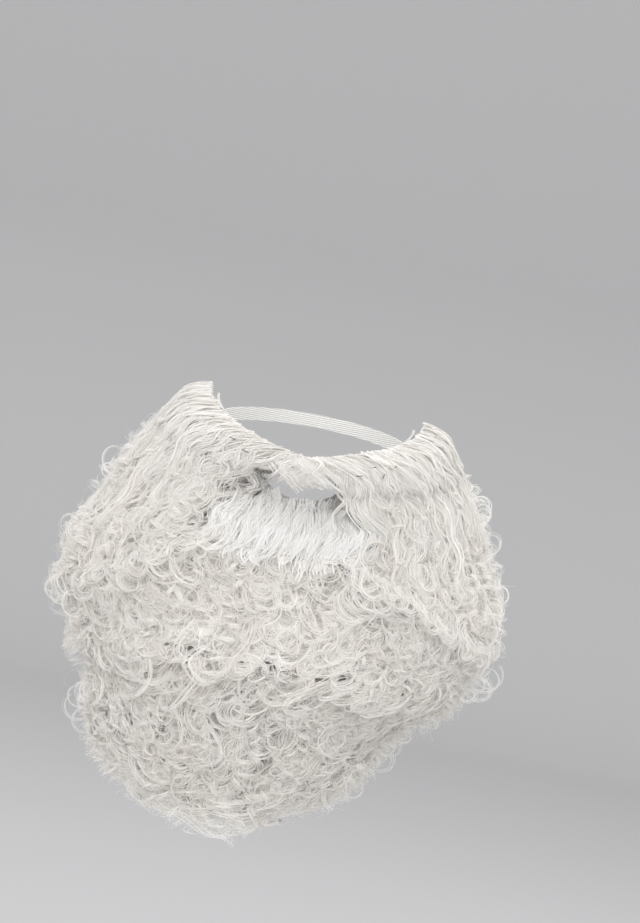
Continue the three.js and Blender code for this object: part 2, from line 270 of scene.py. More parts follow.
# Walks down the hair from places on it, and gives the points and the directions down, across and out
def unit(vectors):
    return vectors / np.maximum(np.linalg.norm(vectors, axis=-1, keepdims=True), 1e-9)


walkLimits = {"past": (-5, 9), "room": 2, "endDepth": (0.03, 0.97)}


def walk(angle, height, length, steps, heading, depthAt, face):
    angle, height = angle.astype(float).copy(), height.astype(float).copy()
    step, shift = length / (steps - 1), 0 * angle
    # every strand turns up again close to the beard's lower edge, each at its own height
    low = np.minimum(draw.uniform(*walkLimits["past"], len(angle)) * mm,
                     height - lowestTip(angle) - walkLimits["room"] * mm)
    path = {"point": [], "down": [], "across": [], "out": []}
    for i in range(steps):
        turn = np.radians(heading[:, i])
        depth = depthAt(angle, height) + shift
        if face == "end":
            depth = np.clip(depth, *walkLimits["endDepth"])
        right, fall = hairWays(angle, height, depth)
        if face == "end":
            out = unit(right) * np.sign(angle)[:, None]
            beside = (hairPoint(angle, height, depth + 0.02) - hairPoint(angle, height, depth - 0.02)) / 0.04
        else:
            out = unit(np.cross(fall, right)) * (-1 if face == "inner" else 1)
            beside = right
        way = unit(unit(fall) * np.cos(turn)[:, None] + unit(beside) * np.sin(turn)[:, None])
        path["point"].append(hairPoint(angle, height, depth))
        path["down"].append(way)
        path["out"].append(out)
        path["across"].append(unit(np.cross(way, out)))
        sideways = step * np.sin(turn) / np.linalg.norm(beside, axis=-1)
        if face == "end":
            shift = shift + sideways
        else:
            angle = np.clip(angle + sideways, -form["earEnd"], form["earEnd"])
        height = height - step * np.cos(turn) / np.linalg.norm(fall, axis=-1)
        floor = lowestTip(angle) + low
        height = floor + np.abs(height - floor)
    return {name: np.stack(rows, 1) for name, rows in path.items()}


# Joined strands: each is a narrow strip that turns a little about its own line
strand = {
    "taperAt": (0, 0.12, 0.7, 1), "taper": (0.6, 1, 0.85, 0.3), "roll": 0.6, "toneSpread": 0.25,
    "growAt": (0, 0.2, 0.75, 1), "riseAt": (0, 0.25, 1), "gatherAt": (0, 0.35, 0.8, 1),
    "crownAt": (0, 0.2, 0.8, 1), "crownShare": (0.3, 1, 1, 0.5), "lift": 0.25, "waver": 0.06,
}


def strandMesh(name, groups):
    spots, corners, uvs, tones, alongs = [], [], [], [], []
    base = 0
    for group in groups:
        path, roll = group["path"], group["roll"][:, None, None]
        count, rings = path.shape[:2]
        tangent = unit(np.gradient(path, axis=1))
        side = unit(np.cross(tangent, group["up"]))
        side = side * np.cos(roll) + np.cross(side, tangent) * np.sin(roll)
        share = np.linspace(0, 1, rings)
        taper = np.interp(share, strand["taperAt"], strand["taper"])
        half = side * (group["wide"][:, None] * taper / 2)[..., None]
        spots.append(np.stack([path + half, path - half], 2).reshape(-1, 3))
        index = base + np.arange(count * rings * 2).reshape(count, rings, 2)
        left, right = index[:, :, 0], index[:, :, 1]
        quads = np.stack([left[:, :-1], right[:, :-1], right[:, 1:], left[:, 1:]], -1).reshape(-1, 4)
        steps = np.linalg.norm(np.diff(path, axis=1), axis=-1)
        far = np.concatenate([np.zeros((count, 1)), np.cumsum(steps, axis=1)], axis=1)
        uvs.append(np.stack(np.broadcast_arrays([0.0, 1.0], far[..., None]), -1).reshape(-1, 2))
        corners.append(quads.ravel())
        tones.append(np.repeat(group["tone"], rings * 2))
        alongs.append(np.tile(np.repeat(share, 2), count))
        base += count * rings * 2
    spots, corners = np.concatenate(spots), np.concatenate(corners)
    mesh = bpy.data.meshes.new(name)
    mesh.vertices.add(len(spots))
    mesh.vertices.foreach_set("co", spots.astype(np.float32).ravel())
    mesh.loops.add(len(corners))
    mesh.loops.foreach_set("vertex_index", corners.astype(np.int32))
    mesh.polygons.add(len(corners) // 4)
    mesh.polygons.foreach_set("loop_start", np.arange(0, len(corners), 4, dtype=np.int32))
    mesh.polygons.foreach_set("use_smooth", np.ones(len(corners) // 4, dtype=bool))
    mesh.update(calc_edges=True)
    uvLayer = mesh.uv_layers.new(name="UVMap")
    uvLayer.uv.foreach_set("vector", np.concatenate(uvs)[corners].astype(np.float32).ravel())
    for label, values in (("tone", tones), ("along", alongs)):
        layer = mesh.attributes.new(label, "FLOAT", "POINT")
        layer.data.foreach_set("value", np.concatenate(values).astype(np.float32))
    triangles[name] = len(corners) // 2
    return addObject(name, mesh)


def spread(count, width):
    return draw.uniform(-width, width, count)


def between(limits, count):
    return draw.uniform(min(limits), max(limits), count)


def asStrands(paths, up, wide, tone):
    rings = paths.shape[2]
    total = paths.shape[0] * paths.shape[1]
    return {
        "path": paths.reshape(-1, rings, 3), "up": np.broadcast_to(up, paths.shape).reshape(-1, rings, 3),
        "wide": wide.ravel(), "roll": draw.normal(0, strand["roll"], total),
        "tone": (np.repeat(tone, paths.shape[1]) + spread(total, strand["toneSpread"])).clip(0, 1),
    }


def wander(shape, size):
    steps = draw.normal(0, size / math.sqrt(shape[-1]), shape)
    return np.cumsum(steps, axis=-1)


# Ringlets: a bunch of loose fibres wound round a line that hangs down the hair
def ringlets(path, length, look, radius, pitch):
    clumps, steps = path["point"].shape[:2]
    tone = draw.uniform(0, 1, clumps)
    share = np.linspace(0, 1, steps)
    hand = draw.choice([-1, 1], clumps)[:, None, None]
    start = draw.uniform(0, 2 * np.pi, clumps)[:, None, None]
    turns = (length / pitch)[:, None, None]
    grow = np.interp(share, strand["growAt"], look["grow"])
    rise = np.interp(share, strand["riseAt"], look["rise"]) * mm
    middle = (path["point"] + path["out"] * rise[None, :, None])[:, None]
    out, across = path["out"][:, None], path["across"][:, None]
    bunch = draw.uniform(0, look["bunch"], (clumps, look["fibres"], 1))
    waver = wander((clumps, look["fibres"], steps), strand["waver"])
    turn = start + hand * 2 * np.pi * (turns * share + bunch + waver)
    size = radius[:, None, None] * grow * (1 + draw.normal(0, look["loose"], (clumps, look["fibres"], 1)))
    around = out * np.cos(turn)[..., None] + across * np.sin(turn)[..., None]
    wide = between(look["fibreWide"], (clumps, look["fibres"])) * mm
    return [asStrands(middle + around * size[..., None], around, wide, tone)]


# Locks: fibres side by side that gather to a tip
def locks(path, look, halfWidth):
    clumps, steps = path["point"].shape[:2]
    tone = draw.uniform(0, 1, clumps)
    share = np.linspace(0, 1, steps)
    gather = np.interp(share, strand["gatherAt"], look["gather"])
    rise = np.interp(share, strand["riseAt"], look["rise"]) * mm
    point, across, out = (path[name][:, None] for name in ("point", "across", "out"))
    tilt, twist = draw.normal(0, look["roll"], (2, clumps, 1, 1))
    roll = np.radians(tilt + twist * share)
    flat = across * np.cos(roll)[..., None] + out * np.sin(roll)[..., None]
    up = out * np.cos(roll)[..., None] - across * np.sin(roll)[..., None]
    swell = draw.normal(0, look["swell"], (clumps, 1, 1)) * mm * np.sin(np.pi * share)
    middle = point + out * (rise + swell)[..., None]
    shape = (clumps, look["fibres"], steps)
    place = draw.uniform(-1, 1, (*shape[:2], 1))
    level = draw.uniform(0, 1, (*shape[:2], 1)) ** 2 * look["depth"]
    sideways = place * halfWidth[:, None, None] * gather + wander(shape, look["stray"]) * mm
    crowned = np.interp(share, strand["crownAt"], strand["crownShare"])
    crown = look["crown"] * (1 - np.abs(place) ** 1.6) * crowned
    lift = (crown - level + strand["lift"]) * mm + wander(shape, look["stray"] * 0.4) * mm
    paths = middle + flat * sideways[..., None] + up * lift[..., None]
    return [asStrands(paths, up, between(look["fibreWide"], shape[:2]) * mm, tone)]


# Loops that stand off the sides, in the plane that leads outward and down
def sideLoops(angle, height, layer, look):
    count, steps = len(angle), look["steps"]
    root = walk(angle, height, np.full(count, mm), 2, np.zeros((count, 2)), outerDepth(layer), "outer")
    point, down, out, across = (root[name][:, :1] for name in ("point", "down", "out", "across"))
    share = np.linspace(0, 1, steps)[None, :]
    begin = np.radians(between(look["begin"], (count, 1)))
    bend = np.radians(between(look["bend"], (count, 1))) * draw.choice([-1, 1], (count, 1), p=look["inward"])
    turn = begin + bend * share ** look["grow"]
    step = (between(look["length"], (count, 1)) * mm / (steps - 1))[..., None]
    way = down * np.cos(turn)[..., None] + out * np.sin(turn)[..., None]
    way = way + across * np.sin(np.linspace(0, 3, steps) + draw.uniform(0, 6, (count, 1)))[..., None] * 0.25
    moved = np.concatenate([np.zeros((count, 1, 3)), np.cumsum(way[:, 1:] * step, axis=1)], axis=1)
    across = np.broadcast_to(across, way.shape)
    path = {"point": point - out * 2 * mm + moved, "across": across, "out": unit(np.cross(across, way))}
    return locks(path, look, between(look["halfWidth"], count) * mm)


# Evenly scattered places on the face of a layer that shows
def places(layer, span, count, above, below):
    order = np.arange(1, count * 12 + 1)
    u, v = ((0.5 + order * ratio) % 1 for ratio in (0.7548776662, 0.5698402910))
    angle = mix(*span, u)
    top, tip = layerTop(layer, angle) + above * mm, layerTip(layer, angle) - below * mm
    height = mix(top, tip, v)
    right, fall = hairWays(angle, height, layerDepths(layer, angle, height)[1])
    area = np.linalg.norm(right, axis=-1) * np.linalg.norm(fall, axis=-1) * (top - tip)
    kept = np.flatnonzero(draw.uniform(0, 1, len(order)) < area / area.max())[:count]
    angle, height = angle[kept], height[kept]
    return angle + spread(len(kept), 1.5), height + spread(len(kept), 3 * mm)


def drift(count, steps, lean, bend):
    share = np.linspace(0, 1, steps)[None, :]
    first, second = draw.normal(0, lean, (count, 1)), draw.normal(0, bend, (count, 1))
    phase = draw.uniform(0, 2 * np.pi, (count, 1))
    return first * (1 - 0.5 * share) + second * np.sin(phase + share * 4)


def outerDepth(layer):
    return lambda angle, height: layerDepths(layer, angle, height)[1]


def seamDepth(layer):
    # from the upper layer's face to this one's, so that a strand runs on over the seam
    def read(angle, height):
        upper = layerDepths(layer - 1, angle, height)[1]
        own = layerDepths(layer, angle, height)[1]
        return mix(own, upper, smoothStep(height - layerTop(layer, angle), -4 * mm, 5 * mm))

    return read


# Materials
def nodeTree(name, finish):
    material = bpy.data.materials.new(name)
    material.use_nodes = True
    tree = material.node_tree
    shader = tree.nodes["Principled BSDF"]
    for socket, value in finish.items():
        shader.inputs[socket].default_value = value
    return material, tree, shader


def add(tree, kind, inputs=None, **settings):
    node = tree.nodes.new("ShaderNode" + kind)
    for key, value in settings.items():
        setattr(node, key, value)
    for socket, value in (inputs or {}).items():
        if isinstance(value, bpy.types.NodeSocket):
            tree.links.new(value, node.inputs[socket])
        else:
            node.inputs[socket].default_value = value
    return node


def objectPlace(tree):
    return add(tree, "TexCoord").outputs["Object"]


def speckle(tree, vector, scale, detail, **more):
    return add(tree, "TexNoise", {"Vector": vector, "Scale": scale, "Detail": detail, **more}).outputs["Fac"]


def ribs(tree, place, inputs):
    return add(tree, "TexWave", {"Vector": place, **inputs}, wave_type="BANDS", bands_direction="Z",
               wave_profile="SIN").outputs["Fac"]


def maths(tree, operation, *values):
    return add(tree, "Math", dict(enumerate(values)), operation=operation).outputs["Value"]


def surface(tree, shader, colour, height, strength, distance):
    tree.links.new(colour, shader.inputs["Base Color"])
    bump = add(tree, "Bump", {"Height": height, "Strength": strength, "Distance": distance})
    tree.links.new(bump.outputs["Normal"], shader.inputs["Normal"])
    return bump.outputs["Normal"]


def ramp(tree, value, stops):
    node = add(tree, "ValToRGB", {"Fac": value})
    while len(node.color_ramp.elements) < len(stops):
        node.color_ramp.elements.new(0.5)
    for element, (place, colour) in zip(node.color_ramp.elements, stops):
        element.position = place
        element.color = (*colour, 1)
    return node.outputs["Color"]


def hairMaterial(name, look):
    material, tree, shader = nodeTree(name, {"Roughness": look["roughness"], "Specular IOR Level": 0.6})
    tone, along = (add(tree, "Attribute", attribute_name=label).outputs["Fac"] for label in ("tone", "along"))
    uv = add(tree, "UVMap", uv_map="UVMap").outputs["UV"]
    shift = add(tree, "CombineXYZ", {"X": tone, "Z": tone}).outputs["Vector"]
    moved = add(tree, "VectorMath", {0: shift, 1: (37.0, 1.0, 19.0), 2: uv}, operation="MULTIPLY_ADD")
    fibre = add(tree, "Mapping", {"Vector": moved.outputs["Vector"], "Scale": (look["fibres"], 70, 1)})
    streak = speckle(tree, fibre.outputs["Vector"], 1.0, 3.0, Roughness=0.6)
    mixed = maths(tree, "MULTIPLY_ADD", tone, 0.45, streak)
    # darker at each strand's root and lighter towards its tip: painted shade at the roots
    colour = ramp(tree, maths(tree, "MULTIPLY_ADD", along, 0.12, mixed), look["colours"])
    normal = surface(tree, shader, colour, streak, look["bump"], 0.0006)
    through = add(tree, "BsdfTranslucent", {"Color": colour, "Normal": normal}).outputs["BSDF"]
    both = add(tree, "MixShader", {0: look["through"], 1: shader.outputs["BSDF"], 2: through})
    tree.links.new(both.outputs["Shader"], tree.nodes["Material Output"].inputs["Surface"])
    return material


def massMaterial(name, look):
    # fine fibres as the contour lines of a soft noise, so that they run in curls and loops; the colour follows the
    # same height as the bump, darker in the grooves, a painted shade
    material, tree, shader = nodeTree(name, {
        "Roughness": 0.5, "Specular IOR Level": 0.35, "Subsurface Weight": look["glow"],
        "Subsurface Radius": (1.0, 0.96, 0.9), "Subsurface Scale": 0.005,
    })
    place = objectPlace(tree)
    swirl = speckle(tree, place, look["swirl"], 1.5, Roughness=0.35, Distortion=0.6)
    fine = speckle(tree, place, 420.0, 2.0)
    turn = maths(tree, "MULTIPLY_ADD", swirl, look["lines"], fine)
    coarse = maths(tree, "SINE", maths(tree, "MULTIPLY", turn, 0.31))
    height = maths(tree, "MULTIPLY_ADD", coarse, 1.4, maths(tree, "SINE", turn))
    rough = maths(tree, "MULTIPLY_ADD", fine, 1.2, height)
    level = add(tree, "MapRange", {"Value": rough, "From Min": -2.0, "From Max": 3.2})
    surface(tree, shader, ramp(tree, level.outputs["Result"], look["colours"]), rough, 0.8, 0.0005)
    return material


curlHair = hairMaterial("curl_hair", {
    "roughness": 0.3, "through": 0.55, "fibres": 30.0, "bump": 0.4,
    "colours": [(0.3, (0.90, 0.875, 0.842)), (0.6, (0.955, 0.935, 0.905)), (0.95, (0.985, 0.975, 0.957))],
})
# the same white fibre as the curls, painted a little darker to take down the light the smooth combed locks catch:
# painted shade
paintedShadeCombedHair = hairMaterial("combed_hair_painted_shade", {
    "roughness": 0.3, "through": 0.5, "fibres": 34.0, "bump": 0.4,
    "colours": [(0.3, (0.87, 0.85, 0.82)), (0.6, (0.935, 0.917, 0.892)), (0.95, (0.975, 0.963, 0.945))],
})
# the same white fibre painted lighter for the bib under the lip: painted light against the shadow the roll casts on
# it
paintedLightBibHair = hairMaterial("bib_hair_painted_light", {
    "roughness": 0.32, "through": 0.5, "fibres": 34.0, "bump": 0.4,
    "colours": [(0.3, (0.95, 0.937, 0.918)), (0.6, (0.98, 0.972, 0.96)), (0.95, (0.995, 0.991, 0.985))],
})
# the hair under the locks, coloured much darker than the white fibres on top: painted shade for the hair's shadowed
# inside
paintedShadeMass = massMaterial("curl_mass_painted_shade", {
    "swirl": 62.0, "lines": 110.0, "glow": 0.5,
    "colours": [(0.1, (0.58, 0.56, 0.53)), (0.5, (0.69, 0.67, 0.642)), (0.9, (0.79, 0.775, 0.745))],
})


def knitMaterial():
    material, tree, shader = nodeTree(
        "knit_cloth", {"Roughness": 0.9, "Specular IOR Level": 0.2, "Sheen Weight": 0.3})
    place = objectPlace(tree)
    rib = ribs(tree, place, {"Scale": 260.0, "Distortion": 1.2, "Detail": 2.0, "Detail Scale": 3.0})
    loop = add(tree, "TexVoronoi", {"Vector": place, "Scale": 900.0}, feature="F1").outputs["Distance"]
    height = maths(tree, "MULTIPLY_ADD", loop, -0.6, rib)
    # the colour follows the bump height: darker in the rib hollows and knit loops, a painted shade
    colour = ramp(tree, height, [(0.0, (0.46, 0.45, 0.43)), (0.5, (0.62, 0.61, 0.585)), (1.0, (0.72, 0.71, 0.685))])
    surface(tree, shader, colour, height, 0.7, 0.0006)
    return material


def elasticMaterial():
    material, tree, shader = nodeTree(
        "woven_elastic", {"Roughness": 0.7, "Specular IOR Level": 0.3, "Sheen Weight": 0.2})
    place = objectPlace(tree)
    rib = ribs(tree, place, {"Scale": 210.0, "Distortion": 0.3, "Detail": 1.0})
    thread = add(tree, "Mapping", {"Vector": place, "Scale": (1400, 1400, 500)}).outputs["Vector"]
    height = maths(tree, "MULTIPLY_ADD", speckle(tree, thread, 1.0, 2.0), 0.5, rib)
    # the colour follows the bump height: darker in the rib hollows, a painted shade
    colour = ramp(tree, height, [(0.2, (0.50, 0.495, 0.475)), (0.7, (0.72, 0.715, 0.695)),
                                 (1.0, (0.82, 0.815, 0.80))])
    surface(tree, shader, colour, height, 0.6, 0.0004)
    return material


def threadMaterial(name, light, dark):
    material, tree, shader = nodeTree(name, {"Roughness": 0.6})
    speck = speckle(tree, objectPlace(tree), 1500.0, 2.0)
    surface(tree, shader, ramp(tree, speck, [(0.3, dark), (0.7, light)]), speck, 0.5, 0.0003)
    return material


whiteThread = threadMaterial("white_thread", (0.85, 0.845, 0.83), (0.6, 0.595, 0.57))
darkThread = threadMaterial("dark_thread", (0.16, 0.15, 0.14), (0.06, 0.058, 0.055))


def dress(piece, material):
    piece.data.materials.clear()
    piece.data.materials.append(material)


def finishPiece(piece, material, nodes=()):
    dress(piece, material)
    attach(piece, "root")
    if nodes:
        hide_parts(*nodes)


dress(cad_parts["backing"], knitMaterial())
dress(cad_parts["elastic_strap"], elasticMaterial())
print("materials ready")

# The mass of hair under the locks keeps the form of its node, a little smaller
hairCore = {"inset": 1.5 * mm, "lump": 1.8 * mm, "lumpSize": 8 * mm, "weld": 0.01 * mm, "soften": 0.5,
            "longest": 11 * mm}
rollCore = {**hairCore, "inset": 0.2 * mm, "lump": 0.8 * mm, "soften": 0.12}


def makeCore(nodeName):
    look = rollCore if nodeName in ("moustache", "cheek_roll_left", "cheek_roll_right") else hairCore
    bm = bmesh.new()
    bm.from_mesh(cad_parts[nodeName].data)
    bmesh.ops.remove_doubles(bm, verts=bm.verts, dist=look["weld"])
    for _ in range(3):
        long = [edge for edge in bm.edges if edge.calc_length() > look["longest"]]
        bmesh.ops.subdivide_edges(bm, edges=long, cuts=1)
        bmesh.ops.triangulate(bm, faces=bm.faces)
        bmesh.ops.smooth_vert(bm, verts=bm.verts, factor=look["soften"], use_axis_x=True, use_axis_y=True,
                              use_axis_z=True)
    bm.normal_update()
    moves = [vert.normal * (noise.noise(vert.co / look["lumpSize"]) * look["lump"] - look["inset"])
             for vert in bm.verts]
    for vert, move in zip(bm.verts, moves):
        vert.co += move
    mesh = smoothMesh(f"{nodeName}_mass", bm)
    finishPiece(addObject(mesh.name, mesh), paintedShadeMass, [nodeName])
    return len(mesh.polygons)


hairNodes = [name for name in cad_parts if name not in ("backing", "elastic_strap")]
triangles["mass"] = sum(makeCore(name) for name in hairNodes)
print("hair masses", triangles["mass"])

# Curly wefts
coilLook = {
    "radius": (2.6, 5.2), "pitch": (7.5, 14.0), "length": (18, 36), "steps": 23, "grow": (0.5, 1, 1, 0.7),
    "rise": (-2.0, 1.0, 2.2), "fibres": 11, "fibreWide": (0.36, 0.66), "loose": 0.16, "lean": 35, "bend": 20,
    "bunch": 0.28,
}
loopLook = {
    "length": (34, 62), "halfWidth": (1.6, 3.4), "steps": 15, "lean": 70, "bend": 10, "wave": (0, 14),
    "waves": (0.5, 1), "upright": 0, "hook": (200, 400), "hookFrom": (0.0, 0.2), "gather": (0.6, 1.0, 0.9, 0.5),
    "rise": (-1.2, 1.0, 2.4), "roll": 30, "crown": 0.6, "fibres": 11, "fibreWide": (0.38, 0.7), "depth": 1.2,
    "stray": 1.1, "swell": 0.6,
}
hookLook = {
    "length": (36, 70), "halfWidth": (2.4, 4.6), "steps": 16, "lean": 28, "bend": 14, "wave": (14, 40),
    "waves": (0.8, 1.8), "upright": 0, "hook": (140, 360), "hookFrom": (0.2, 0.5), "gather": (0.7, 1.0, 0.7, 0.5),
    "rise": (-2.0, 0.6, 2.6), "roll": 25, "crown": 0.9, "fibres": 13, "fibreWide": (0.36, 0.68), "depth": 1.4,
    "stray": 1.2, "swell": 0.8,
}
waveLook = {
    "length": (60, 100), "halfWidth": (3.2, 6.0), "steps": 19, "lean": 8, "bend": 6, "wave": (18, 34),
    "waves": (1.8, 2.8), "upright": 0, "hook": (0, 90), "hookFrom": (0.6, 0.8), "gather": (0.75, 1.0, 0.8, 0.4),
    "rise": (-2.0, 0.8, 1.8), "roll": 12, "crown": 1.3, "fibres": 24, "fibreWide": (0.4, 0.72), "depth": 1.8,
    "stray": 1.2, "swell": 1.0,
}
outlineLook = {
    **hookLook, "length": (30, 52), "halfWidth": (1.6, 3.6), "rise": (-3.0, 3.0, 7.0), "fibres": 9,
    "hook": (200, 380), "hookFrom": (0.1, 0.35), "fibreWide": (0.26, 0.42), "depth": 2.0, "stray": 1.6,
}
seamLook = {
    **loopLook, "rise": (-0.6, 0.8, 1.4), "length": (28, 56), "halfWidth": (2.4, 4.6), "lean": 40, "hook": (90, 330),
    "fibres": 10,
}
underLook = {
    **loopLook, "rise": (-1.0, 0.3, 0.8), "length": (30, 56), "halfWidth": (2.4, 4.6), "lean": 45, "hook": (120, 330),
    "fibres": 8, "fibreWide": (0.5, 0.8),
}
fillLook = {
    **loopLook, "rise": (-4.0, -2.5, -1.0), "length": (20, 38), "halfWidth": (2.5, 4.5), "steps": 11, "fibres": 9,
    "fibreWide": (0.6, 1.1), "depth": 2.5, "stray": 2.2,
}
fuzzLook = {
    **loopLook, "rise": (0.2, 0.5, 0.8), "length": (16, 30), "halfWidth": (2.5, 5.0), "steps": 11, "fibres": 3,
    "fibreWide": (0.6, 1.0), "depth": 0.4, "stray": 2.2, "swell": 0.2,
}
strayLook = {
    **coilLook, "radius": (2.5, 6.0), "pitch": (12, 24), "length": (20, 40), "steps": 15, "grow": (0.4, 1, 1, 1.2),
    "rise": (-2, 3.5, 7.0), "fibres": 1, "fibreWide": (0.18, 0.3), "loose": 0.2, "bunch": 1.0,
}
edgeLook = {
    **coilLook, "radius": (4.5, 9.0), "pitch": (8, 17), "length": (22, 46), "steps": 26, "rise": (-2.5, 1.0, 3.0),
    "fibres": 8, "fibreWide": (0.28, 0.46), "loose": 0.14, "lean": 16, "bend": 14, "bunch": 0.2,
}
sideLook = {
    "length": (30, 52), "begin": (15, 60), "bend": (210, 420), "inward": (0.75, 0.25), "grow": 1.3, "steps": 18,
    "halfWidth": (0.8, 2.4), "gather": (0.8, 1.0, 0.8, 0.5), "rise": (0, 0, 0), "roll": 35, "crown": 0.5, "fibres": 8,
    "fibreWide": (0.26, 0.44), "depth": 1.0, "stray": 0.9, "swell": 0.0,
}
backLook = {
    **coilLook, "length": (36, 60), "pitch": (11, 17), "rise": (-1.0, 0.4, 0.4), "fibres": 12, "lean": 14,
    "fibreWide": (0.6, 0.9), "bunch": 0.5,
}


def ringletGroups(angle, height, layer, look, depthAt=None, face="outer"):
    count = len(angle)
    room = np.maximum(height - (lowestTip(angle) - 6 * mm), 16 * mm)
    length = np.clip(between(look["length"], count) * mm, 16 * mm, room)
    path = walk(angle, height, length, look["steps"], drift(count, look["steps"], look["lean"], look["bend"]),
                depthAt or outerDepth(layer), face)
    radius, pitch = between(look["radius"], count) * mm, between(look["pitch"], count) * mm
    return ringlets(path, length, look, radius, pitch)


def lockGroups(angle, height, layer, look, depthAt=None, face="outer"):
    count, steps = len(angle), look["steps"]
    share = np.linspace(0, 1, steps)[None, :]
    wave = between(look["wave"], (count, 1)) * np.sin(2 * np.pi * (between(look["waves"], (count, 1)) * share
                                                                  + draw.uniform(0, 1, (count, 1))))
    hookFrom = between(look["hookFrom"], (count, 1))
    hooked = np.clip((share - hookFrom) / (1 - hookFrom), 0, 1) ** 1.4
    hook = draw.choice([-1, 1], (count, 1)) * between(look["hook"], (count, 1)) * hooked
    heading = drift(count, steps, look["lean"], look["bend"]) + wave * (1 - hooked) + hook
    heading = heading - angle[:, None] * look["upright"] * (1 - 0.5 * share)
    length = between(look["length"], count) * mm
    path = walk(angle, height, length, steps, heading, depthAt or outerDepth(layer), face)
    return locks(path, look, between(look["halfWidth"], count) * mm)


# For each weft: its layer, the angles that it spans at the right, and how many of each kind of curl it has
plainWeft = {"waves": 0, "edge": 0, "seam": 0, "over": 0, "ends": 0, "inner": 0, "paired": False}
wefts = {
    "side_weft": {
        "layer": 1, "span": (27, 91), "fill": 18, "border": 29, "above": 2, "below": 4, "coils": 20, "loops": 52,
        "hooks": 32, "waves": 20, "outline": 16, "edge": 11, "fuzz": 120, "strays": 60, "ends": 5, "paired": True,
    },
    "chin_weft": {
        "layer": 2, "span": (-42, 42), "fill": 34, "border": -38, "above": 12, "below": 4, "coils": 22, "loops": 70,
        "hooks": 40, "outline": 10, "seam": 60, "fuzz": 110, "over": 36, "strays": 40,
    },
    "jaw_weft": {
        "layer": 2, "span": (33, 91), "fill": 24, "border": 38, "above": 14, "below": 6, "coils": 12, "loops": 34,
        "hooks": 14, "outline": 10, "edge": 11, "seam": 48, "fuzz": 110, "strays": 50, "ends": 4, "paired": True,
    },
    "throat_weft_centre": {
        "layer": 3, "span": (-40, 40), "fill": 34, "border": 36, "above": 14, "below": 0, "coils": 20, "loops": 66,
        "hooks": 36, "outline": 10, "edge": 12, "seam": 60, "fuzz": 110, "strays": 40, "inner": 4,
    },
    "throat_weft": {
        "layer": 3, "span": (31, 91), "fill": 24, "border": 36, "above": 16, "below": 0, "coils": 18, "loops": 52,
        "hooks": 28, "outline": 14, "edge": 12, "seam": 48, "fuzz": 110, "strays": 60, "ends": 7, "inner": 5,
        "paired": True,
    },
}

# Curls scattered over a weft's face: kind, maker, look, and how much higher and lower they start, in mm
scattered = [
    ("coils", ringletGroups, coilLook, 0, -18), ("loops", lockGroups, loopLook, 0, -6),
    ("hooks", lockGroups, hookLook, 0, -14), ("outline", lockGroups, outlineLook, -8, -10),
    ("fuzz", lockGroups, fuzzLook, 0, -6), ("strays", ringletGroups, strayLook, -6, 0),
]

# Where the other curls start: angles in degrees, the rest in mm or as a share of the weft's height
starts = {
    "fillHigh": (-6, 8), "borderSpread": 3.5, "borderHigh": 5, "borderShare": 0.9, "seamSpread": 1.5,
    "seamHigh": (-6, 20), "edgeAngles": (70, 91), "edgeLow": 8, "edgeShare": 0.3, "sideAngles": (66, 91),
    "sideLow": 14, "overAngles": (-33, 33), "overAbove": -30, "overBelow": -2, "waveIn": 4, "waveShare": 0.72,
    "waveSpread": 2.0, "waveHigh": 4, "waveLoose": 5, "endAngle": 89, "endDepth": (0.05, 0.95), "rollEnd": 4,
    "endsLow": 20, "underLow": 12, "underEnds": 4, "innerLow": 12, "underInner": 9,
}


def endGroups(layer, side, count, look, make, room):
    # on the end of a layer, under the ear
    angle = np.full(count, float(starts["endAngle"] * side))
    top = layers[layer][0](angle)[0] if layers[layer][0] else rollTop(angle) - starts["rollEnd"] * mm
    height = mix(top, layerTip(layer, angle) + room * mm, draw.uniform(0, 1, count))
    share = draw.uniform(*starts["endDepth"], count)

    def inLayer(a, h):
        low, high = layerDepths(layer, a, h)
        return mix(low, high, share)

    return make(angle, height, layer, look, inLayer, "end")


def upWeft(layer, angle, low, share):
    return mix(layerTip(layer, angle) + low * mm, layerTop(layer, angle), share)


